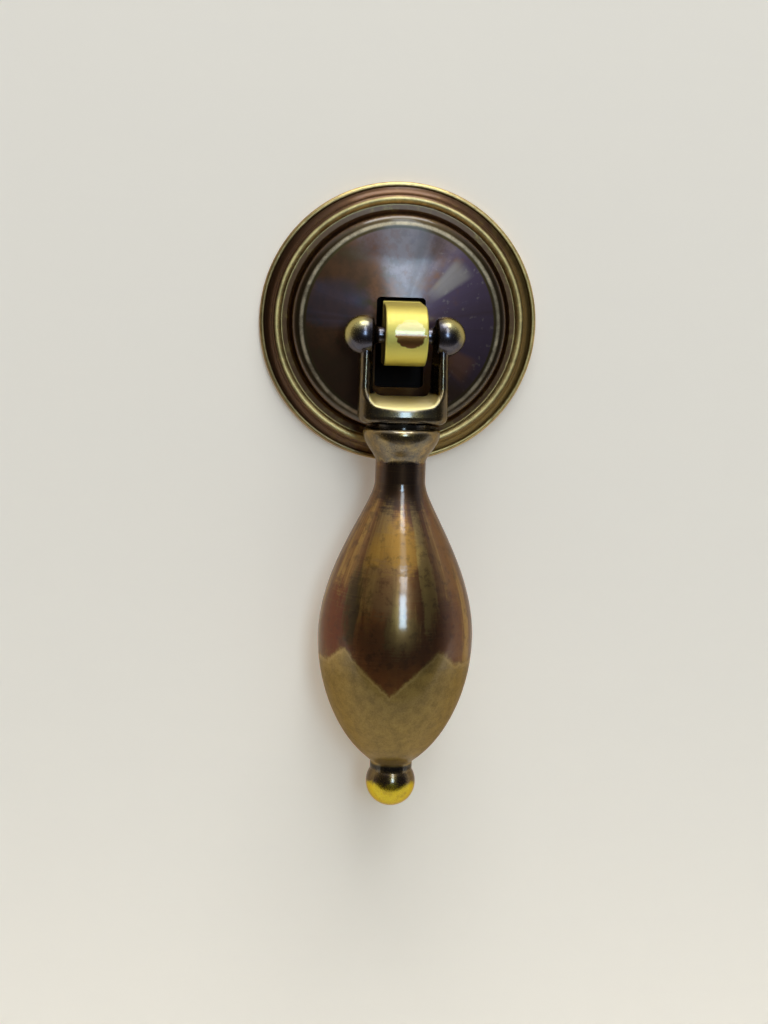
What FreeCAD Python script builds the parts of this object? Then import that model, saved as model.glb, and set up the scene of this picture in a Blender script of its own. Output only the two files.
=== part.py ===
"""Drop pull for a drawer or cupboard door: a turned rosette, a brass eye post and a pear-shaped drop.

Millimetres. The rosette's back lies on the plane Y = 0, which is the drawer front, and the pull
faces -Y. The origin is the centre of the rosette's back, on the axis of the fixing screw. +Z is up
and the drop hangs down. The rosette's heights are measured out from the drawer front, and the
drop's heights are measured down from the axis of its crossbar.
"""
import FreeCAD
import Part
import math
import os

from FreeCAD import Vector

# Rosette: radius over all, then the widths of its mouldings from the rim inwards
ROSETTE_R = 19.0
LIP_WIDTH = 0.7
BAND_WIDTH = 0.95
BEAD_WIDTH = 1.3
GROOVE_WIDTH = 0.75
COVE_WIDTH = 0.6
SHOULDER_WIDTH = 1.95

# Rosette: heights of the same mouldings above the drawer front
RIM_HEIGHT = 0.8
LIP_HEIGHT = 1.15
BAND_HEIGHT = 1.0
BEAD_FOOT_HEIGHT = 1.65
BEAD_HEIGHT = 2.4
GROOVE_HEIGHT = 1.5
COVE_HEIGHT = 2.3
DOME_EDGE_HEIGHT = 3.8
DOME_HEIGHT = 4.9

# Rosette: how far its curves stand off their chords
DOME_CROWN = 0.12
COVE_HOLLOW = 0.12
BAND_HOLLOW = 0.1

# Rosette: how far its shoulder runs on from the dome before it bends, and how far it drops to the cove
SHOULDER_RUN = 1.45
SHOULDER_SLOPE_DEG = 6.0
SHOULDER_FALL = 0.9

# Rosette: flat-roofed recess behind the dome
RECESS_DEPTH = 2.2
RECESS_WALL = 0.8

# Eye post
EYE_CLEARANCE = 0.08
EYE_WALL = 2.8
EYE_WIDTH = 5.6
EYE_EDGE_ROUND = 0.22
SHANK_TAPER = 0.37
SHANK_RISE = 4.75
FOOT_ROOM = 0.3
FOOT_THICKNESS = 1.2
SEAM_GAP = 0.25
SEAM_SLOPE_DEG = 44.0
THREAD_R = 1.65
THREAD_DEPTH = 6.0

# Room round the shank in the rosette's slot
SLOT_SIDE_ROOM = 0.87
SLOT_TOP_ROOM = 0.1
SLOT_FOOT_ROOM = 3.35
SLOT_CORNER = 0.6

# Crossbar of the drop, which is the axis that it swings on
PIVOT_DROP = 1.3
BAR_R = 1.08
BAR_ROOT_ROUND = 0.7
BALL_R = 2.6
BALL_LENGTH = 3.95
BALL_OVERHANG = 0.2
BALL_FACE_ROUND = 0.6

# Stirrup of the drop
EYE_SIDE_ROOM = 1.45
EYE_FOOT_ROOM = 3.97
ARM_WIDTH = 1.6
STIRRUP_TOP_DEPTH = 5.2
STIRRUP_FOOT_DEPTH = 7.7
STIRRUP_FOOT = 3.58
STIRRUP_BOW_R = 18.0
STIRRUP_SIDE_ROUND = 2.1
STIRRUP_CORNER = 1.0
FOOT_CROWN_R = 4.85
OPENING_CORNER = 1.5
OPENING_DRAFT_DEG = 9.0
OPENING_FRONT_ROUND = 0.6
OPENING_BACK_ROUND = 0.3

# Turned body of the drop: radii
WAIST_R = 3.2
COLLAR_R = 5.12
COLLAR_ROUND = 0.75
NECK_R = 3.33
PEAR_R = 10.37
PEAR_LIP_R = 3.5
FINIAL_NECK_R = 2.85
FINIAL_R = 3.35

# Turned body of the drop: lengths, from the stirrup down
WAIST_LENGTH = 0.45
COLLAR_LENGTH = 4.6
NECK_LENGTH = 2.65
PEAR_UPPER_LENGTH = 21.0
PEAR_LOWER_LENGTH = 16.6
PEAR_LIP_LENGTH = 0.6
FINIAL_NECK_LENGTH = 1.2

# Turned curves: tangents at their two ends, as shares of the curve's own length
COLLAR_TANGENTS = (0.42, 0.25)
PEAR_UPPER_TANGENTS = (0.146, 0.459)
PEAR_LOWER_TANGENTS = (0.412, 0.308)
PEAR_END_ANGLE_DEG = 38.7

# Room between the hanging pear and the drawer front
PEAR_WALL_ROOM = 0.83

# Sizes that follow from the ones above
BAND_R = ROSETTE_R - LIP_WIDTH
BEAD_R = BAND_R - BAND_WIDTH
GROOVE_R = BEAD_R - BEAD_WIDTH
COVE_R = GROOVE_R - GROOVE_WIDTH
SHOULDER_R = COVE_R - COVE_WIDTH
DOME_R = SHOULDER_R - SHOULDER_WIDTH
RECESS_R = DOME_R - RECESS_WALL
FOOT_R = RECESS_R - FOOT_ROOM
PIVOT_OUT = PEAR_R + PEAR_WALL_ROOM
EYE_BORE_R = BAR_R + EYE_CLEARANCE
NOSE_R = EYE_BORE_R + EYE_WALL
SHANK_WIDTH = EYE_WIDTH - 2 * SHANK_TAPER
SLOT_WIDTH = SHANK_WIDTH + 2 * SLOT_SIDE_ROOM
OPENING_WIDTH = EYE_WIDTH + 2 * EYE_SIDE_ROOM
OPENING_LENGTH = NOSE_R + EYE_FOOT_ROOM
STIRRUP_WIDTH = OPENING_WIDTH + 2 * ARM_WIDTH
STIRRUP_LENGTH = OPENING_LENGTH + STIRRUP_FOOT

PIVOT = Vector(0, -PIVOT_OUT, -PIVOT_DROP)
ORIGIN = Vector(0, 0, 0)
X_AXIS = Vector(1, 0, 0)
Y_AXIS = Vector(0, 1, 0)
Z_AXIS = Vector(0, 0, 1)

# How far cutters run past what they cut, and the play allowed when edges are picked by their place
CUT_MARGIN = 2.0
PICK_PLAY = 0.01

# How far the middle of a quarter round of radius 1 lies from the two lines that it joins
QUARTER_MIDDLE = 1 - math.sqrt(0.5)


def line(start, end):
    return Part.LineSegment(start, end).toShape()


def lines(points):
    return [line(start, end) for start, end in zip(points, points[1:])]


def arc(start, middle, end):
    return Part.Arc(start, middle, end).toShape()


def bulge(start, end, height, outward):
    """Arc from start to end whose middle stands off the chord by height, towards outward."""
    return arc(start, (start + end) * 0.5 + outward * height, end)


def bezier(start, start_tangent, end_tangent, end):
    """Curve from start to end, with a tangent vector that leads into it at each end."""
    curve = Part.BezierCurve()
    curve.setPoles([start, start + start_tangent, end + end_tangent, end])
    return curve.toShape()


def face_of(edges):
    return Part.Face(Part.Wire(edges))


def rosette_front():
    """Edges of the rosette's front outline from the centre out, in the plane Z = 0."""

    def at(radius, height):
        return Vector(radius, -height, 0)

    front = at(0, 1)
    slope = at(1, 1).normalize()
    dome_edge = at(DOME_R, DOME_EDGE_HEIGHT)
    shoulder_foot = at(SHOULDER_R, COVE_HEIGHT)
    shoulder_angle = math.radians(SHOULDER_SLOPE_DEG)
    shoulder_run = at(math.cos(shoulder_angle), -math.sin(shoulder_angle)) * SHOULDER_RUN
    cove_foot = at(COVE_R, GROOVE_HEIGHT)
    groove_end = at(GROOVE_R, GROOVE_HEIGHT)
    bead_start = at(GROOVE_R, BEAD_FOOT_HEIGHT)
    bead_crest = at((GROOVE_R + BEAD_R) / 2, BEAD_HEIGHT)
    bead_end = at(BEAD_R, BEAD_FOOT_HEIGHT)
    band_end = at(BAND_R, BAND_HEIGHT)
    lip_crest = at((BAND_R + ROSETTE_R) / 2, LIP_HEIGHT)
    rim_edge = at(ROSETTE_R, RIM_HEIGHT)
    return [
        bulge(at(0, DOME_HEIGHT), dome_edge, DOME_CROWN, front),
        bezier(dome_edge, shoulder_run, front * SHOULDER_FALL, shoulder_foot),
        bulge(shoulder_foot, cove_foot, -COVE_HOLLOW, slope),
        line(cove_foot, groove_end),
        line(groove_end, bead_start),
        arc(bead_start, bead_crest, bead_end),
        bulge(bead_end, band_end, -BAND_HOLLOW, slope),
        arc(band_end, lip_crest, rim_edge),
        line(rim_edge, at(ROSETTE_R, 0)),
    ]


def slot_cutter():
    """Rounded rectangle that the shank passes through, with more room below it than above."""
    top = PIVOT.z + SHANK_RISE + SLOT_TOP_ROOM
    bottom = PIVOT.z - NOSE_R - SLOT_FOOT_ROOM
    length = DOME_HEIGHT + 2 * CUT_MARGIN
    corner = Vector(-SLOT_WIDTH / 2, CUT_MARGIN - length, bottom)
    block = Part.makeBox(SLOT_WIDTH, length, top - bottom, corner)
    corner_edges = [e for e in block.Edges if e.BoundBox.YLength > length - PICK_PLAY]
    return block.makeFillet(SLOT_CORNER, corner_edges)


def make_backplate():
    """Turned rosette with a flat rim at the back, a recess behind the dome and a slot for the shank."""
    back = [
        Vector(ROSETTE_R, 0, 0),
        Vector(RECESS_R, 0, 0),
        Vector(RECESS_R, -RECESS_DEPTH, 0),
        Vector(0, -RECESS_DEPTH, 0),
        Vector(0, -DOME_HEIGHT, 0),
    ]
    return face_of(rosette_front() + lines(back)).revolve(ORIGIN, Y_AXIS, 360).cut(slot_cutter())


def post_side():
    """Side outline of the post: a nose round the crossbar, level below, its top rising to the back."""
    back_top = Vector(0, PIVOT_OUT, SHANK_RISE)
    touch_angle = math.atan2(back_top.z, back_top.y) + math.acos(NOSE_R / back_top.Length)
    touch = Vector(0, math.cos(touch_angle), math.sin(touch_angle)) * NOSE_R
    bottom = -Z_AXIS * NOSE_R
    back_bottom = Vector(0, PIVOT_OUT, bottom.z)
    corners = [PIVOT + p for p in (bottom, back_bottom, back_top, touch)]
    nose = arc(corners[-1], PIVOT - Y_AXIS * NOSE_R, corners[0])
    return face_of(lines(corners) + [nose])


def post_plan():
    """Outline of the post from above: widest at the nose, narrowest at the back."""
    right = [Vector(EYE_WIDTH / 2, PIVOT.y - NOSE_R, 0), Vector(SHANK_WIDTH / 2, 0, 0)]
    left = [Vector(-p.x, p.y, 0) for p in reversed(right)]
    return face_of(lines(right + left + right[:1]))


def post_blank():
    """Solid nose and shank, with their long edges rounded."""
    side = post_side()
    side.translate(-X_AXIS * (EYE_WIDTH / 2))
    plan = post_plan()
    plan.translate(Z_AXIS * (PIVOT.z - NOSE_R - CUT_MARGIN))
    height = NOSE_R + SHANK_RISE + 2 * CUT_MARGIN
    blank = side.extrude(X_AXIS * EYE_WIDTH).common(plan.extrude(Z_AXIS * height))

    def is_long_edge(edge):
        return edge.BoundBox.YLength > PICK_PLAY and edge.BoundBox.XLength < SHANK_WIDTH / 2

    return blank.makeFillet(EYE_EDGE_ROUND, [e for e in blank.Edges if is_long_edge(e)])


def seam_cutter():
    """Thin gap from the eye to the top of the post, where the lip was pressed shut over the crossbar."""
    width = EYE_WIDTH + 2 * CUT_MARGIN
    length = NOSE_R + 2 * SHANK_RISE
    slab = Part.makeBox(width, length, SEAM_GAP, Vector(-width / 2, 0, -SEAM_GAP / 2))
    slab.rotate(ORIGIN, X_AXIS, SEAM_SLOPE_DEG)
    slab.translate(PIVOT)
    return slab


def make_eye_post():
    """Brass post: an eye closed round the crossbar, a shank, and a round foot brazed behind the rosette."""
    width = EYE_WIDTH + 2 * CUT_MARGIN
    foot = Part.makeCylinder(FOOT_R, FOOT_THICKNESS, -Y_AXIS * RECESS_DEPTH, Y_AXIS)
    bore = Part.makeCylinder(EYE_BORE_R, width, PIVOT - X_AXIS * (width / 2), X_AXIS)
    thread = Part.makeCylinder(THREAD_R, THREAD_DEPTH, ORIGIN, -Y_AXIS)
    return post_blank().fuse(foot).cut([seam_cutter(), bore, thread]).removeSplitter()


def make_crossbar():
    """Crossbar with ball ends whose inner faces are flat with a rounded edge, turned about X."""
    face_x = OPENING_WIDTH / 2 - BALL_OVERHANG
    tip_x = face_x + BALL_LENGTH
    ball_x = tip_x - BALL_R
    root_r = BAR_R + BAR_ROOT_ROUND
    root_x = face_x - BAR_ROOT_ROUND
    root_bend = BAR_ROOT_ROUND * QUARTER_MIDDLE

    def at(x, radius):
        return Vector(x, 0, radius)

    ball = at(ball_x, 0)
    edge_x = face_x + BALL_FACE_ROUND
    edge_r = math.sqrt((BALL_R - BALL_FACE_ROUND) ** 2 - (ball_x - edge_x) ** 2)
    edge = at(edge_x, edge_r)
    outward = (edge - ball).normalize()
    edge_middle = edge + (outward - X_AXIS).normalize() * BALL_FACE_ROUND
    ball_start = ball + outward * BALL_R

    outline = lines([at(tip_x, 0), at(0, 0), at(0, BAR_R), at(root_x, BAR_R)])
    outline += [
        arc(at(root_x, BAR_R), at(face_x - root_bend, BAR_R + root_bend), at(face_x, root_r)),
        line(at(face_x, root_r), at(face_x, edge_r)),
        arc(at(face_x, edge_r), edge_middle, ball_start),
        arc(ball_start, at(ball_x, BALL_R), at(tip_x, 0)),
    ]
    half = face_of(outline).revolve(ORIGIN, X_AXIS, 360)
    return half.fuse(half.mirror(ORIGIN, X_AXIS))


def stirrup_outline(depth, height):
    """The stirrup's outline at a height below the crossbar: straight sides, bowed front and back."""
    bow_y = STIRRUP_BOW_R - depth / 2
    corner_x = STIRRUP_WIDTH / 2 - STIRRUP_SIDE_ROUND
    slant = math.asin(corner_x / (STIRRUP_BOW_R - STIRRUP_SIDE_ROUND))
    corner_y = bow_y - corner_x / math.tan(slant)
    middle = (slant + math.pi / 2) / 2

    def corner(angle):
        x = corner_x + STIRRUP_SIDE_ROUND * math.sin(angle)
        y = corner_y - STIRRUP_SIDE_ROUND * math.cos(angle)
        return [Vector(sx * x, sy * y, -height) for sx, sy in ((1, 1), (1, -1), (-1, -1), (-1, 1))]

    bows = corner(slant)
    bends = corner(middle)
    sides = corner(math.pi / 2)
    front = Vector(0, -depth / 2, -height)
    back = Vector(0, depth / 2, -height)
    return Part.Wire([
        arc(bows[3], front, bows[0]),
        arc(bows[0], bends[0], sides[0]),
        line(sides[0], sides[1]),
        arc(sides[1], bends[1], bows[1]),
        arc(bows[1], back, bows[2]),
        arc(bows[2], bends[2], sides[2]),
        line(sides[2], sides[3]),
        arc(sides[3], bends[3], bows[3]),
    ])


def opening_cutter():
    """Space that the post stands in: it widens towards the front, over a foot with a rounded top."""
    reach = (STIRRUP_FOOT_DEPTH / 2 + FOOT_CROWN_R) / 2
    draft = reach * math.tan(math.radians(OPENING_DRAFT_DEG))
    front = OPENING_WIDTH / 2 + draft
    back = OPENING_WIDTH / 2 - draft
    bottom = -OPENING_LENGTH - FOOT_CROWN_R
    plan = [
        Vector(-front, -reach, bottom),
        Vector(front, -reach, bottom),
        Vector(back, reach, bottom),
        Vector(-back, reach, bottom),
    ]
    crown = Part.makeCylinder(FOOT_CROWN_R, 2 * front, Vector(-front, 0, bottom), X_AXIS)
    space = face_of(lines(plan + plan[:1])).extrude(Z_AXIS * (BALL_R + CUT_MARGIN - bottom)).cut(crown)

    def is_crown_end(edge):
        return edge.BoundBox.YLength > PICK_PLAY and edge.BoundBox.ZMax < PICK_PLAY - OPENING_LENGTH

    return space.makeFillet(OPENING_CORNER, [e for e in space.Edges if is_crown_end(e)])


def make_stirrup():
    """Stirrup that deepens downwards to a rounded foot, with an opening that the post stands in."""
    top = stirrup_outline(STIRRUP_TOP_DEPTH, 0)
    bottom = stirrup_outline(STIRRUP_FOOT_DEPTH, STIRRUP_LENGTH)
    body = Part.makeLoft([top, bottom], True, True)
    foot_edge = [e for e in body.Edges if e.BoundBox.ZMax < PICK_PLAY - STIRRUP_LENGTH]
    opening = opening_cutter()
    stirrup = body.makeFillet(STIRRUP_CORNER, foot_edge).cut(opening)

    def is_rim(edge):
        middle = edge.valueAt((edge.FirstParameter + edge.LastParameter) / 2)
        return opening.isInside(middle, PICK_PLAY, True)

    front_rim = [e for e in stirrup.Edges if e.BoundBox.YMax < -PICK_PLAY and is_rim(e)]
    stirrup = stirrup.makeFillet(OPENING_FRONT_ROUND, front_rim)
    back_rim = [e for e in stirrup.Edges if e.BoundBox.YMin > PICK_PLAY and is_rim(e)]
    return stirrup.makeFillet(OPENING_BACK_ROUND, back_rim)


def make_turned_body():
    """Collar, neck, pear and ball finial, turned about the drop's own axis."""
    waist_top = STIRRUP_LENGTH - WAIST_LENGTH
    collar_top = STIRRUP_LENGTH + WAIST_LENGTH
    collar_side = collar_top + COLLAR_ROUND
    collar_end = collar_top + COLLAR_LENGTH
    pear_top = collar_end + NECK_LENGTH
    belly = pear_top + PEAR_UPPER_LENGTH
    pear_end = belly + PEAR_LOWER_LENGTH
    finial_neck = pear_end + PEAR_LIP_LENGTH
    finial_top = finial_neck + FINIAL_NECK_LENGTH
    finial_centre = finial_top + math.sqrt(FINIAL_R ** 2 - FINIAL_NECK_R ** 2)
    finial_end = finial_centre + FINIAL_R

    def at(radius, height):
        return Vector(radius, 0, -height)

    def tangents(shares, length, end_angle_deg=90.0):
        """Downward tangent at a curve's start, and the one at its end, at an angle to the horizontal."""
        angle = math.radians(end_angle_deg)
        start = at(0, shares[0] * length)
        end = at(math.cos(angle), -math.sin(angle)) * (shares[1] * length)
        return start, end

    collar_bend = COLLAR_ROUND * QUARTER_MIDDLE
    collar_start, collar_finish = tangents(COLLAR_TANGENTS, collar_end - collar_side)
    upper_start, upper_finish = tangents(PEAR_UPPER_TANGENTS, PEAR_UPPER_LENGTH)
    lower_start, lower_finish = tangents(PEAR_LOWER_TANGENTS, PEAR_LOWER_LENGTH, PEAR_END_ANGLE_DEG)
    collar_edge = at(COLLAR_R - COLLAR_ROUND, collar_top)
    waist = [at(WAIST_R, waist_top), at(WAIST_R, collar_top), collar_edge]
    outline = lines([at(0, finial_end), at(0, waist_top)] + waist)
    outline += [
        arc(collar_edge, at(COLLAR_R - collar_bend, collar_top + collar_bend), at(COLLAR_R, collar_side)),
        bezier(at(COLLAR_R, collar_side), collar_start, collar_finish, at(NECK_R, collar_end)),
        line(at(NECK_R, collar_end), at(NECK_R, pear_top)),
        bezier(at(NECK_R, pear_top), upper_start, upper_finish, at(PEAR_R, belly)),
        bezier(at(PEAR_R, belly), lower_start, lower_finish, at(PEAR_LIP_R, pear_end)),
        line(at(PEAR_LIP_R, pear_end), at(FINIAL_NECK_R, finial_neck)),
        line(at(FINIAL_NECK_R, finial_neck), at(FINIAL_NECK_R, finial_top)),
        arc(at(FINIAL_NECK_R, finial_top), at(FINIAL_R, finial_centre), at(0, finial_end)),
    ]
    return face_of(outline).revolve(ORIGIN, Z_AXIS, 360)


def make_drop():
    """The drop, one casting: crossbar, stirrup, collar, pear and finial."""
    drop = make_stirrup().fuse([make_crossbar(), make_turned_body()]).removeSplitter()
    drop.translate(PIVOT)
    return drop


NODES = {"backplate": make_backplate, "eye_post": make_eye_post, "drop": make_drop}

os.makedirs("parts", exist_ok=True)
for name, make in NODES.items():
    shape = make()
    print(name, "valid" if shape.isValid() else "not valid", len(shape.Solids), round(shape.Volume, 1))
    shape.exportStep("parts/" + name + ".step")
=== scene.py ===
"""Dresses the drop pull in worn brass, before a pale wall, with soft lamps and the photo's camera."""
import math

import bpy
from mathutils import Matrix, Vector

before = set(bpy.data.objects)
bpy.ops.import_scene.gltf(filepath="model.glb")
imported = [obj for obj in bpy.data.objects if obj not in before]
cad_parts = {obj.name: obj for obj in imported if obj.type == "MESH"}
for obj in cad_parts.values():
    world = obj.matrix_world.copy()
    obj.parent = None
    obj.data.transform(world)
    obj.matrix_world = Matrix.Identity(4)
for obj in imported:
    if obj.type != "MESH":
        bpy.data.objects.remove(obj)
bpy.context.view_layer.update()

# Sizes in the materials are in millimetres of the row frame, and angles there in radians.
# The stage, the lamps and the camera are in metres and degrees.
MM_PER_M = 1000.0

# The crossbar's axis, before the wall
PIVOT_OUT = 11.2
PIVOT_HEIGHT = -1.3

# The rosette's rings, as radii
DOME_R = 12.75
CREST_R = 13.4
SHOULDER_R = 14.30
BEAD_R = 16.45
BAND_R = 17.0
LIP_R = 18.3

# Spots on the rosette's dome: middle and half width across, then middle height and half height
NAVY_SPOT = ((-9.0, 6.0), (2.5, 4.0))
# The dark spot is painted shade: the dome's upper left darkened for the dim room it reflects
DARK_SPOT = ((-7.5, 5.0), (7.0, 4.5))
DULL_SPOT = ((0.5, 8.0), (11.0, 3.6))
HAZY_SPOT = ((0.0, 6.0), (6.5, 4.5))

# Radii over which the dome's painted reflection rays fade in and out
RAY_START = (4.5, 7.5)
RAY_END = (12.3, 10.5)

# The slot in the rosette, whose walls are painted black as shade
SLOT_HALF = 3.4
SLOT_TOP = 3.6
SLOT_BOTTOM = -8.7

# The burnished spot on the post, and the depths over which its nose and the painted black shade in the slot
# set in
SPOT_X = 0.45
SPOT_HALF = 2.2
SPOT_HEIGHT = -0.95
SPOT_RISE = 2.0
NOSE_DEPTHS = (-13.4, -13.8)
DARK_DEPTHS = (-6.0, -4.8)

# The drop's levels, as heights
LEDGE_HEIGHT = -10.2
WAIST_HEIGHT = -13.0
COLLAR_EDGE = -17.7
FINIAL_NECK = -59.3
FINIAL_EDGE = -61.5

# The half width of the ledge, and how far out and over which heights the balls' rub and the sheen set in;
# the rub is partly a painted reflection of the bright wall, and the sheen a painted dark blue reflection
LEDGE_HALF = 4.6
BALL_OUT = (6.0, 8.0)
BALL_HEIGHTS = (-5.5, -3.5)
SHEEN_HEIGHTS = (-4.5, -3.0)

# The heart-shaped edge of the khaki, where a painted reflection of the dark room above meets a painted
# reflection of the bright floor below, over the patina: its height, its notch and the fall of its lobes
HEART_TOP = -41.6
HEART_DROP = 5.9
HEART_TURN = 0.14
HEART_HALF = 0.62
LOBE_DROP = 2.1
LOBE_TURN = 1.00

# The lacquer, and the depth of the castings' and the post's fine relief in metres
LACQUER_ROUGHNESS = 0.12
LACQUER_IOR = 1.7
CAST_RELIEF = 0.00001
POST_RELIEF = 0.00003

# The wall and the floor, the glow of their paint, and the length of ray that passes through them
STAGE_HALF = 1.2
STAGE_TOP = 1.2
FLOOR_HEIGHT = -0.115
FLOOR_FRONT = -0.085
WALL_BACK = 0.0002
WALL_GLOW = 0.16
OPEN_WITHIN = 0.0025

# The room's strengths: everywhere, towards the wall, below and above
ROOM_DIM = 0.06
ROOM_ASIDE = 0.36
ROOM_BELOW = 0.40
ROOM_ABOVE = 0.60

# Lamps: name, azimuth, lowest and highest elevation, width, distance, watts, colour
LAMPS = (
    ("window_high", 8.0, 24.0, 54.0, 0.18, 1.0, 1.9, (0.74, 0.88, 1.0)),
    ("window_low", 6.0, 3.0, 22.0, 0.16, 1.0, 2.3, (0.50, 0.75, 1.0)),
    ("overhead", 8.0, 60.0, 87.0, 0.60, 0.9, 5.6, (0.82, 0.92, 1.0)),
)

# The camera as fitted to the photo, with its sensor and lens in millimetres
CAMERA_AT = (-0.01996, -0.22899, 0.00803)
CAMERA_AIM = (-0.00108, 0.0, -0.02639)
CAMERA_ROLL = 1.79
CAMERA_SENSOR = 36.0
CAMERA_LENS = 58.40
CAMERA_NEAREST = 0.01

# Linear colours of the finishes, the paint and the room
# The first colour is black for painted shade, put in the slot and in the grooves where shade falls
SHADE_BLACK = (0.010, 0.008, 0.007, 1)
BARK = (0.055, 0.024, 0.010, 1)
UMBER = (0.150, 0.052, 0.018, 1)
INK = (0.075, 0.040, 0.055, 1)
NAVY = (0.060, 0.064, 0.110, 1)
PLUM = (0.170, 0.100, 0.085, 1)
SAND = (0.600, 0.450, 0.280, 1)
MOSS = (0.075, 0.052, 0.014, 1)
CHESTNUT = (0.150, 0.052, 0.015, 1)
RUSSET = (0.250, 0.088, 0.022, 1)
RUST = (0.140, 0.028, 0.006, 1)
AMBER = (0.360, 0.180, 0.032, 1)
OLIVE = (0.200, 0.125, 0.034, 1)
KHAKI = (0.390, 0.250, 0.070, 1)
HONEY = (0.375, 0.215, 0.051, 1)
TAWNY = (0.2885, 0.1202, 0.0255, 1)
STEEL = (0.085, 0.062, 0.040, 1)
COCOA = (0.095, 0.044, 0.020, 1)
TAN = (0.210, 0.110, 0.042, 1)
GOLD = (0.860, 0.600, 0.230, 1)
BRASS = (0.640, 0.520, 0.150, 1)
YELLOW_BRASS = (0.700, 0.500, 0.030, 1)
FLOOR_GLINT_BRASS = (0.980, 0.830, 0.200, 1)
EDGE_TINT = (0.700, 0.600, 0.480, 1)
WALL_COLOUR = (0.985, 0.840, 0.685, 1)
FLOOR_COLOUR = (0.640, 0.610, 0.560, 1)
PAINT_GRAIN = (0.720, 0.700, 0.650, 1)
ROOM_LEFT = (1.0, 0.92, 0.80, 1)
ROOM_RIGHT = (0.92, 0.97, 1.04, 1)
ROOM_TOP = (0.86, 0.95, 1.06, 1)

# Patches of the pear's patina: tone, strength, angle from the front, half width, height, half height
PEAR_PATCHES = (
    (AMBER, 0.25, -0.85, 0.50, -28.0, 6.5),
    (AMBER, 0.25, 0.78, 0.42, -31.0, 7.5),
    (AMBER, 0.75, -0.16, 0.60, -28.3, 4.4),
    (KHAKI, 0.65, 0.36, 0.16, -31.0, 10.0),
    (TAN, 0.60, -0.25, 0.50, -33.5, 4.5),
    # The next patch darkens the neck's front: patina, and a painted reflection of the dark room
    (BARK, 0.95, 0.00, 1.60, -20.0, 5.0),
    (MOSS, 0.80, -0.72, 0.20, -36.5, 7.0),
    (RUST, 0.95, -1.10, 0.34, -38.5, 6.5),
    (CHESTNUT, 0.95, 0.68, 0.34, -39.5, 6.5),
    # The next patch is the dark heart above the khaki: patina, and a painted reflection of the dark room
    (CHESTNUT, 0.95, -0.14, 0.90, -43.5, 6.0),
    (RUSSET, 0.70, -0.42, 0.25, -40.0, 4.0),
    (OLIVE, 0.50, -0.02, 0.28, -39.0, 3.5),
)

# Where the pear's lacquer has gone dull: strength, then as above
PEAR_DULL = (
    (0.75, -0.10, 0.60, -28.6, 3.4),
    (0.60, -0.42, 0.34, -33.0, 6.0),
    (0.75, 0.00, 9.00, -51.0, 9.0),
)

# Painted reflection rays on the rosette's dome, the streaks a turned surface shows: tone, strength, angle
# from the right, half width
DOME_REFLECTION_RAYS = (
    (SAND, 0.22, 0.74, 0.17),
    (RUSSET, 0.45, -0.58, 0.20),
)


class Graph:
    """The nodes of a material or the world. An input takes a number, a colour or another node's output."""

    def __init__(self, owner):
        self.owner = owner
        owner.use_nodes = True
        self.nodes = owner.node_tree.nodes
        self.links = owner.node_tree.links
        self.nodes.clear()

    def node(self, kind, inputs=None, **settings):
        node = self.nodes.new("ShaderNode" + kind)
        for name, value in settings.items():
            setattr(node, name, value)
        for name, value in (inputs or {}).items():
            if isinstance(value, bpy.types.NodeSocket):
                self.links.new(value, node.inputs[name])
            else:
                node.inputs[name].default_value = value
        return node

    def math(self, operation, *values):
        return self.node("Math", dict(enumerate(values)), operation=operation).outputs[0]

    def step(self, value, low, high):
        """Runs smoothly from 0 at low to 1 at high, which may be the smaller one."""
        inputs = {"Value": value, "From Min": low, "From Max": high}
        return self.node("MapRange", inputs, interpolation_type="SMOOTHSTEP").outputs[0]

    def band(self, value, centre, half, soft):
        """1 within half of the centre, and 0 from half plus soft on."""
        away = self.math("ABSOLUTE", self.math("SUBTRACT", value, centre))
        return self.step(away, half + soft, half)

    def mix(self, factor, a, b):
        """Colour a where the factor is 0, and b where it is 1."""
        return self.node("Mix", {0: factor, 6: a, 7: b}, data_type="RGBA").outputs[2]

    def spot(self, *spans):
        """1 in the middle of an oval and 0 outside it. A span is a value, its middle and its half width."""
        far = 0.0
        for value, middle, half in spans:
            share = self.math("DIVIDE", self.math("SUBTRACT", value, middle), half)
            far = self.math("ADD", far, self.times(share, share))
        return self.step(far, 1.0, 0.25)

    def oval(self, x, z, spot):
        """A spot on the front, given as its span across and its span in height."""
        across, upright = spot
        return self.spot((x, *across), (z, *upright))

    def times(self, first, *others):
        for other in others:
            first = self.math("MULTIPLY", first, other)
        return first

    def noise(self, place, scale, detail=3.0, roughness=0.55):
        inputs = {"Vector": place, "Scale": scale, "Detail": detail, "Roughness": roughness}
        return self.node("TexNoise", inputs).outputs[0]

    def place(self):
        """The point in millimetres of the row frame, as a vector and its three numbers."""
        source = self.node("TexCoord").outputs["Object"]
        vector = self.node("VectorMath", {0: source, "Scale": MM_PER_M}, operation="SCALE").outputs[0]
        return vector, *self.node("SeparateXYZ", {0: vector}).outputs

    def normal(self):
        """Where the surface faces, in the piece's own frame, so that it holds in every pose."""
        return self.node("SeparateXYZ", {0: self.node("TexCoord").outputs["Normal"]}).outputs

    def vector(self, x, y, z):
        return self.node("CombineXYZ", {0: x, 1: y, 2: z}).outputs[0]

    def metal(self, colour, roughness, height, relief, lacquer):
        """Ends the material as a metal with that relief in metres under that much lacquer."""
        bump = self.node("Bump", {"Strength": 1.0, "Distance": relief, "Height": height})
        inputs = {
            "Base Color": colour, "Metallic": 1.0, "Roughness": roughness, "Normal": bump.outputs[0],
            "Specular Tint": EDGE_TINT, "Coat Weight": lacquer,
            "Coat Roughness": LACQUER_ROUGHNESS, "Coat IOR": LACQUER_IOR,
        }
        shader = self.node("BsdfPrincipled", inputs)
        self.node("OutputMaterial", {"Surface": shader.outputs[0]})
        return self.owner


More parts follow.
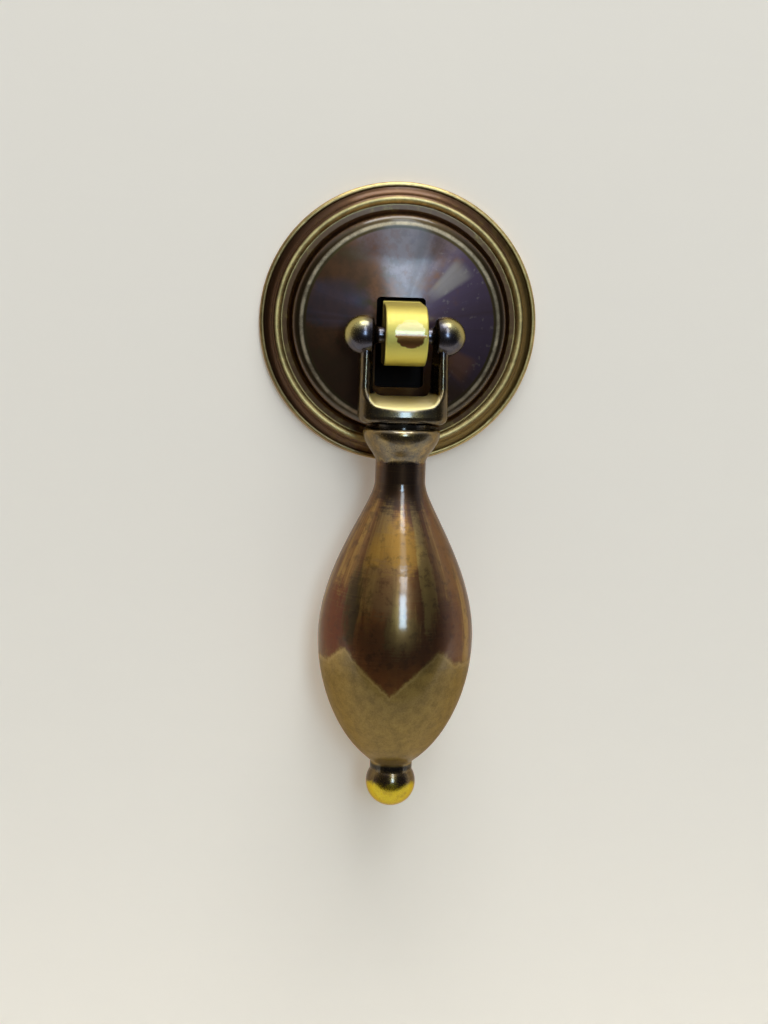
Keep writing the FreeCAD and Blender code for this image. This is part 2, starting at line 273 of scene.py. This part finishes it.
def rosette_finish():
    """Dark lacquered patina, blotched on the dome, and worn to brass on the lip and the bead, with painted
    reflections in the dome's rays and on the shoulder's crest, painted light on the lip's upper right, and
    painted shade on the dome's lower part and in the slot.
    """
    g = Graph(bpy.data.materials.new("dark_brass_rosette"))
    place, x, _, z = g.place()
    flat = g.vector(x, 0.0, z)
    radius = g.node("VectorMath", {0: flat}, operation="LENGTH").outputs["Value"]
    turn = g.math("ARCTAN2", z, x)
    blotches = g.noise(place, scale=0.28, detail=4.0, roughness=0.6)
    mottle = g.noise(place, scale=0.9, detail=5.0, roughness=0.65)
    specks = g.noise(place, scale=5.0, detail=3.0, roughness=0.7)
    stray = g.times(g.math("SUBTRACT", blotches, 0.5), 22.0)

    dome = g.mix(g.step(g.math("ADD", g.times(mottle, 0.4), blotches), 0.50, 0.90), UMBER, BARK)
    dome = g.mix(g.times(g.step(blotches, 0.50, 0.66), 0.6), dome, MOSS)
    strayed = g.math("ADD", x, g.times(stray, 0.3))
    dome = g.mix(g.times(g.oval(strayed, z, NAVY_SPOT), 0.5), dome, NAVY)
    dome = g.mix(g.step(g.math("ADD", x, stray), 0.0, 7.0), dome, INK)
    off_middle = g.math("ABSOLUTE", g.math("SUBTRACT", x, 1.5))
    high = g.math("SUBTRACT", g.math("ADD", z, g.times(stray, 0.4)), off_middle)
    cloudy = g.math("ADD", 0.4, g.times(g.step(mottle, 0.38, 0.60), 0.5))
    dome = g.mix(g.times(g.step(high, 0.0, 7.0), cloudy), dome, PLUM)
    # The dome's lower part is painted darker: painted shade and dark reflection under the post and the drop
    low = g.math("ADD", g.math("ADD", z, g.times(x, 0.25)), g.times(stray, 0.3))
    dome = g.mix(g.times(g.step(low, -2.0, -8.0), 0.85), dome, BARK)
    # The rays are painted reflections: radial streaks of light and dark as a turned dome shows them
    out = g.times(g.step(radius, *RAY_START), g.step(radius, *RAY_END))
    for tone, share, middle, half in DOME_REFLECTION_RAYS:
        dome = g.mix(g.times(g.spot((turn, middle, half)), out, share), dome, tone)
    flecks = g.step(g.noise(place, scale=1.2, detail=3.0), 0.60, 0.72)
    dome = g.mix(g.times(flecks, g.step(x, 2.0, 6.0), 0.12), dome, SAND)
    # Spokes of painted reflection: dark radial sectors as on spun metal
    spoke = g.node("VectorMath", {0: flat}, operation="NORMALIZE").outputs[0]
    spokes = g.noise(spoke, scale=2.6, detail=4.0, roughness=0.6)
    dome = g.mix(g.times(g.step(spokes, 0.46, 0.64), 0.55), dome, BARK)
    # The dark spot at the upper left is painted shade, for the dim room the dome reflects there
    dome = g.mix(g.times(g.oval(x, z, DARK_SPOT), 0.6), dome, BARK)

    lower_right = g.step(g.math("SUBTRACT", x, g.times(z, 0.6)), -4.0, 20.0)
    thin = g.step(g.math("ADD", g.times(lower_right, 0.5), mottle), 0.50, 1.0)
    wear = g.math("ADD", g.times(specks, 0.3), g.math("ADD", g.times(mottle, 0.5), g.times(blotches, 0.6)))
    wear = g.step(wear, 0.56, 0.84)
    # The thin sand line on the shoulder's crest is a painted reflection of the bright wall and floor,
    # broken up as if worn
    crest = g.times(g.band(radius, CREST_R, 0.06, 0.32), g.math("ADD", 0.40, g.times(wear, 0.6)))
    shoulder = g.mix(crest, g.mix(mottle, BARK, MOSS), SAND)
    cove = g.mix(g.step(mottle, 0.5, 0.8), COCOA, OLIVE)
    rings = g.mix(g.step(radius, SHOULDER_R - 0.25, SHOULDER_R + 0.25), shoulder, cove)
    rings = g.mix(g.step(radius, BAND_R - 0.1, BAND_R + 0.1), rings, g.mix(thin, COCOA, OLIVE))
    colour = g.mix(g.step(radius, DOME_R - 0.1, DOME_R + 0.1), dome, rings)

    bead = g.band(radius, BEAD_R, 0.35, 0.25)
    # The lip is painted brighter toward the upper right, where the lamps fall: painted light over the worn
    # brass
    lit_upper_right = g.step(g.math("ADD", x, g.times(z, 0.6)), -18.0, 8.0)
    lip = g.times(g.step(radius, LIP_R, LIP_R + 0.3), g.math("ADD", 0.45, g.times(lit_upper_right, 0.55)))
    rubbed_and_lit = g.times(g.math("MAXIMUM", bead, lip), g.math("ADD", 0.60, g.times(wear, 0.4)))
    colour = g.mix(rubbed_and_lit, colour, GOLD)

    _, facing, _ = g.normal()
    back = g.step(facing, -0.1, 0.2)
    colour = g.mix(back, colour, g.mix(mottle, UMBER, OLIVE))
    # The slot's walls are painted black: painted shade
    in_slot = g.times(
        g.math("LESS_THAN", g.math("ABSOLUTE", x), SLOT_HALF),
        g.math("LESS_THAN", z, SLOT_TOP),
        g.math("GREATER_THAN", z, SLOT_BOTTOM),
        g.step(facing, -0.7, -0.3),
    )
    colour = g.mix(in_slot, colour, SHADE_BLACK)

    roughness = g.math("ADD", 0.26, g.times(specks, 0.2))
    height = g.math("ADD", g.times(mottle, 0.8), g.times(specks, 0.2))
    dull = g.oval(x, z, DULL_SPOT)
    worn = g.math("MAXIMUM", g.step(radius, SHOULDER_R, SHOULDER_R + 0.5), dull)
    worn = g.math("MAXIMUM", worn, g.times(g.oval(x, z, HAZY_SPOT), 0.7))
    lacquer = g.times(g.math("SUBTRACT", 0.65, g.times(worn, 0.5)), g.math("SUBTRACT", 1.0, back))
    matt = g.math("MAXIMUM", g.times(dull, 0.2), g.times(rubbed_and_lit, 0.12))
    matt = g.math("MAXIMUM", g.times(crest, 0.25), matt)
    roughness = g.math("ADD", roughness, matt)
    return g.metal(colour, roughness, height, CAST_RELIEF, lacquer)


def drop_finish():
    """Glossy brown patina in streaks, khaki below a heart-shaped edge, and brass on the finial and the ball
    ends: partly patina and wear, and partly painted reflections of the dark room and the bright floor and
    wall; with painted shade in the grooves and painted light on the ledge.
    """
    g = Graph(bpy.data.materials.new("dark_brass_drop"))
    place, x, y, z = g.place()
    forward = g.math("SUBTRACT", -PIVOT_OUT, y)
    angle = g.math("ARCTAN2", x, forward)
    mottle = g.noise(place, scale=0.8, detail=5.0, roughness=0.65)
    specks = g.noise(place, scale=5.0, detail=3.0, roughness=0.7)
    uneven = g.noise(place, scale=1.1, detail=5.0, roughness=0.6)
    ragged = g.times(g.math("SUBTRACT", uneven, 0.5), 2.0)
    around = g.node("VectorMath", {0: g.vector(x, forward, 0.0)}, operation="NORMALIZE").outputs[0]
    across, along, _ = g.node("SeparateXYZ", {0: around}).outputs
    drawn = g.vector(g.times(across, 5.0), g.times(along, 5.0), g.times(z, 0.05))
    streaks = g.noise(drawn, scale=1.0, detail=5.0, roughness=0.65)
    ringed = g.vector(g.times(x, 0.2), g.times(forward, 0.2), g.times(z, 5.0))
    turned = g.noise(ringed, scale=1.0, detail=2.0, roughness=0.5)

    pear = g.mix(g.step(streaks, 0.46, 0.68), CHESTNUT, HONEY)
    drift = g.math("ADD", angle, g.times(g.math("SUBTRACT", streaks, 0.5), 0.6))
    drift = g.math("ADD", drift, g.times(ragged, 0.08))
    lathe_lines = g.times(g.math("SUBTRACT", turned, 0.5), 3.0)
    sag = g.math("ADD", z, g.math("ADD", g.times(ragged, 2.4), lathe_lines))
    for tone, share, middle, half, level, reach in PEAR_PATCHES:
        pear = g.mix(g.times(g.spot((drift, middle, half), (sag, level, reach)), share), pear, tone)
    pear = g.mix(g.times(g.step(turned, 0.50, 0.72), 0.14), pear, OLIVE)
    pear = g.mix(g.times(g.step(mottle, 0.50, 0.66), 0.45), pear, BARK)
    pear = g.mix(g.times(g.step(specks, 0.58, 0.72), 0.30), pear, BARK)

    # Above the heart-shaped edge the dark patina stands also for a painted reflection of the dark room;
    # below it the khaki is partly patina and partly a painted reflection of the bright floor, with a faint
    # gold line along the edge
    aside = g.math("ABSOLUTE", g.math("ADD", angle, HEART_TURN))
    notch = g.math("SUBTRACT", 1.0, g.math("DIVIDE", aside, HEART_HALF))
    lobe = g.times(g.step(aside, HEART_HALF, LOBE_TURN), LOBE_DROP)
    fall = g.math("ADD", g.times(g.math("MAXIMUM", notch, 0.0), HEART_DROP), lobe)
    edge = g.math("ADD", g.math("SUBTRACT", HEART_TOP, fall), g.times(ragged, 0.8))
    below = g.math("SUBTRACT", edge, z)
    grain = g.math("ADD", g.times(mottle, 0.6), g.times(specks, 0.4))
    khaki = g.mix(g.step(grain, 0.25, 0.75), KHAKI, OLIVE)
    pear = g.mix(g.step(below, -0.5, 0.4), pear, khaki)
    pear = g.mix(g.times(g.band(below, 0.35, 0.05, 0.35), 0.15), pear, GOLD)

    collar = g.step(g.math("ADD", z, g.times(ragged, 0.9)), COLLAR_EDGE - 0.15, COLLAR_EDGE + 0.15)
    colour = g.mix(collar, pear, g.mix(g.step(grain, 0.30, 0.70), khaki, STEEL))
    steel = g.mix(g.times(g.step(mottle, 0.3, 0.7), 0.7), STEEL, OLIVE)
    colour = g.mix(g.step(z, WAIST_HEIGHT - 0.2, WAIST_HEIGHT + 0.2), colour, steel)
    # A black band in the waist's groove: painted shade
    colour = g.mix(g.times(g.band(z, WAIST_HEIGHT, 0.2, 0.3), 0.9), colour, SHADE_BLACK)

    # The ball ends turn to brass outward and upward: worn, and a painted reflection of the bright wall at
    # their rims
    out = g.math("ADD", g.math("ABSOLUTE", x), g.times(g.math("SUBTRACT", z, PIVOT_HEIGHT), 0.9))
    ball = g.step(g.math("ADD", out, g.times(ragged, 0.7)), *BALL_OUT)
    ball = g.times(ball, g.step(z, *BALL_HEIGHTS))
    # The crossbar and the balls' tops are tinted dark blue: a painted reflection of the dim room
    colour = g.mix(g.times(g.step(z, *SHEEN_HEIGHTS), 0.6), colour, NAVY)
    colour = g.mix(g.times(ball, 0.65), colour, BRASS)

    # The ledge's upward faces are painted light brass: painted light from above
    _, _, upward = g.normal()
    ledge = g.times(
        g.step(upward, 0.35, 0.6),
        g.band(z, LEDGE_HEIGHT, 1.2, 0.3),
        g.math("LESS_THAN", g.math("ABSOLUTE", x), LEDGE_HALF),
    )
    colour = g.mix(ledge, colour, g.mix(grain, BRASS, SAND))

    # The finial's top is dark and its lower half yellow brass: partly wear, and partly painted reflections
    # of the dark room above and the bright floor below
    knob = g.mix(g.step(grain, 0.35, 0.65), BARK, OLIVE)
    rubbed_and_lit = g.mix(g.times(g.step(mottle, 0.50, 0.70), 0.4), YELLOW_BRASS, RUSSET)
    finial = g.step(g.math("ADD", z, g.times(ragged, 0.9)), FINIAL_EDGE + 0.4, FINIAL_EDGE - 0.4)
    colour = g.mix(g.step(z, FINIAL_NECK + 0.5, FINIAL_NECK), colour, g.mix(finial, knob, rubbed_and_lit))
    # A black band in the finial's neck: painted shade
    colour = g.mix(g.times(g.band(z, FINIAL_NECK, 0.15, 0.4), 0.85), colour, SHADE_BLACK)

    under_collar = g.step(z, COLLAR_EDGE, COLLAR_EDGE - 1.0)
    on_pear = g.times(under_collar, g.step(z, FINIAL_NECK, FINIAL_NECK + 1.0))
    roughness = g.math("ADD", g.times(specks, 0.12), g.math("ADD", 0.20, g.times(on_pear, 0.08)))
    roughness = g.math("ADD", roughness, g.times(ledge, 0.25))
    bare = g.math("MAXIMUM", g.math("MAXIMUM", finial, ledge), g.times(ball, 0.65))
    front = g.step(g.math("ABSOLUTE", angle), 1.0, 0.5)
    lacquer = g.math("ADD", 0.35, g.times(front, 0.5))
    lacquer = g.times(lacquer, g.math("SUBTRACT", 1.0, g.times(bare, 0.8)))
    for share, middle, half, level, reach in PEAR_DULL:
        dull = g.times(g.spot((drift, middle, half), (sag, level, reach)), share)
        lacquer = g.times(g.math("SUBTRACT", 1.0, dull), lacquer)
        roughness = g.math("ADD", roughness, g.times(dull, 0.25))
    height = g.math("ADD", g.times(mottle, 0.8), g.times(specks, 0.2))
    return g.metal(colour, roughness, height, CAST_RELIEF, lacquer)


def post_finish():
    """Dull brass, with a painted reflection of the bright floor below, sides darkened as patina and painted
    shade, painted black shade in the slot, and a burnished and partly brown spot on the nose.
    """
    g = Graph(bpy.data.materials.new("bright_brass"))
    place, x, y, z = g.place()
    mottle = g.noise(place, scale=1.1, detail=4.0, roughness=0.6)
    brushed = g.vector(g.times(x, 8.0), y, g.times(z, 0.8))
    scratches = g.noise(brushed, scale=1.0, detail=3.0, roughness=0.6)
    uneven = g.noise(place, scale=1.8, detail=3.0)
    ragged = g.times(g.math("SUBTRACT", uneven, 0.5), 1.4)
    across = g.math("ADD", x, ragged)
    spot = g.spot((across, SPOT_X, SPOT_HALF), (z, SPOT_HEIGHT, SPOT_RISE))
    spot = g.times(g.step(spot, 0.05, 0.25), g.step(y, *NOSE_DEPTHS))
    lower = g.step(g.math("ADD", z, g.times(ragged, 0.3)), SPOT_HEIGHT + 0.2, SPOT_HEIGHT - 0.1)
    sideways, facing, upward = g.normal()
    colour = g.mix(g.times(mottle, 0.35), BRASS, YELLOW_BRASS)
    # Faces turned down are painted paler brass: a painted reflection of the bright floor below
    colour = g.mix(g.step(upward, 0.1, -0.4), colour, FLOOR_GLINT_BRASS)
    colour = g.mix(g.times(spot, 0.6), colour, OLIVE)
    colour = g.mix(g.times(spot, lower), colour, TAWNY)
    # The post's sides are painted dark brown, as patina and as painted shade
    flank = g.times(g.step(g.math("ABSOLUTE", sideways), 0.75, 0.95), 0.9)
    colour = g.mix(flank, colour, BARK)
    # Deep in the slot the post is painted black: painted shade
    colour = g.mix(g.step(y, *DARK_DEPTHS), colour, SHADE_BLACK)
    colour = g.mix(g.step(facing, 0.3, 0.7), colour, g.mix(mottle, OLIVE, BRASS))
    roughness = g.math("ADD", 0.50, g.times(scratches, 0.16))
    roughness = g.math("SUBTRACT", roughness, g.times(spot, 0.26))
    height = g.math("ADD", mottle, g.times(scratches, 0.3))
    return g.metal(colour, roughness, height, POST_RELIEF, g.times(spot, 0.6))


def stage_finish(name, colour):
    """Pale paint with a faint grain, seen from its front only, and open to rays from right before it."""
    g = Graph(bpy.data.materials.new(name))
    _, x, _, z = g.place()
    strokes = g.vector(g.times(x, 0.02), 0.0, g.times(z, 0.6))
    grain = g.noise(strokes, scale=1.0, detail=4.0, roughness=0.6)
    paint = g.mix(g.times(grain, 0.08), colour, PAINT_GRAIN)
    path = g.node("LightPath").outputs
    mirrored = g.math("MAXIMUM", path["Is Glossy Ray"], path["Is Transmission Ray"])
    seen = g.math("MAXIMUM", path["Is Camera Ray"], mirrored)
    diffuse = g.node("BsdfDiffuse", {"Color": paint}).outputs[0]
    glow = g.node("Emission", {"Color": paint, "Strength": g.times(seen, WALL_GLOW)}).outputs[0]
    shader = g.node("AddShader", {0: diffuse, 1: glow}).outputs[0]
    clear = g.node("BsdfTransparent").outputs[0]
    behind = g.node("NewGeometry").outputs["Backfacing"]
    close = g.math("LESS_THAN", path["Ray Length"], OPEN_WITHIN)
    see_through = g.math("MAXIMUM", behind, close)
    surface = g.node("MixShader", {0: see_through, 1: shader, 2: clear}).outputs[0]
    g.node("OutputMaterial", {"Surface": surface})
    return g.owner


def quad(name, corners, material):
    """A flat stage piece whose front is the side from which its corners run anticlockwise."""
    mesh = bpy.data.meshes.new(name)
    mesh.from_pydata(corners, [], [(0, 1, 2, 3)])
    mesh.materials.append(material)
    piece = bpy.data.objects.new(name, mesh)
    bpy.context.scene.collection.objects.link(piece)


def add_stage():
    """The wall behind the pull and the narrow floor below it."""
    half = STAGE_HALF
    top = STAGE_TOP
    floor = FLOOR_HEIGHT
    near = FLOOR_FRONT
    far = WALL_BACK
    quad(
        "wall",
        [(-half, far, floor), (half, far, floor), (half, far, top), (-half, far, top)],
        stage_finish("wall_paint", WALL_COLOUR),
    )
    quad(
        "floor",
        [(-half, near, floor), (half, near, floor), (half, far, floor), (-half, far, floor)],
        stage_finish("floor_paint", FLOOR_COLOUR),
    )


def add_lamp(name, azimuth, low, high, width, distance, power, colour):
    """A lamp that faces the origin between two elevations; the azimuth runs from the front to the right."""
    turn = math.radians(azimuth)
    rise = math.radians((low + high) / 2)
    away = Vector((math.sin(turn) * math.cos(rise), -math.cos(turn) * math.cos(rise), math.sin(rise)))
    light = bpy.data.lights.new(name, "AREA")
    light.shape = "RECTANGLE"
    light.size = width
    light.size_y = 2 * distance * math.tan(math.radians((high - low) / 2))
    light.energy = power
    light.color = colour
    lamp = bpy.data.objects.new(name, light)
    lamp.location = away * distance
    lamp.rotation_mode = "QUATERNION"
    lamp.rotation_quaternion = away.to_track_quat("Z", "Y")
    bpy.context.scene.collection.objects.link(lamp)


def add_world():
    """A dim room, paler above, below and towards the wall, warm on the left and cool on the right."""
    world = bpy.data.worlds.new("room")
    g = Graph(world)
    direction = g.node("TexCoord").outputs["Generated"]
    right, inward, upward = g.node("SeparateXYZ", {0: direction}).outputs
    aside = g.step(inward, -0.52, 0.05)
    tint = g.mix(g.step(right, -0.8, 0.8), ROOM_LEFT, ROOM_RIGHT)
    below = g.step(upward, -0.45, -0.95)
    above = g.step(upward, 0.45, 0.80)
    strength = g.math("MAXIMUM", g.times(aside, ROOM_ASIDE), g.times(below, ROOM_BELOW))
    strength = g.math("MAXIMUM", strength, g.times(above, ROOM_ABOVE))
    strength = g.math("ADD", ROOM_DIM, strength)
    tint = g.mix(above, tint, ROOM_TOP)
    background = g.node("Background", {"Color": tint, "Strength": strength})
    g.node("OutputWorld", {"Surface": background.outputs[0]})
    bpy.context.scene.world = world


def add_camera():
    """The photo's camera, from the left and a little above, with its slight turn."""
    at = Vector(CAMERA_AT)
    roll = math.radians(CAMERA_ROLL)
    back = (at - Vector(CAMERA_AIM)).normalized()
    right = Vector((0, 0, 1)).cross(back).normalized()
    up = back.cross(right)
    side = right * math.cos(roll) + up * math.sin(roll)
    rise = back.cross(side)
    data = bpy.data.cameras.new("camera")
    data.sensor_width = CAMERA_SENSOR
    data.lens = CAMERA_LENS
    data.clip_start = CAMERA_NEAREST
    camera = bpy.data.objects.new("camera", data)
    camera.matrix_world = Matrix.Translation(at) @ Matrix((side, rise, back)).transposed().to_4x4()
    bpy.context.scene.collection.objects.link(camera)
    bpy.context.scene.camera = camera


def dress(node, material):
    """Gives a piece of the frame its finish."""
    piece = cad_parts[node]
    piece.data.materials.clear()
    piece.data.materials.append(material)


dress("backplate", rosette_finish())
dress("eye_post", post_finish())
dress("drop", drop_finish())
add_stage()
for lamp in LAMPS:
    add_lamp(*lamp)
add_world()
add_camera()
bpy.context.scene.view_settings.view_transform = "Standard"
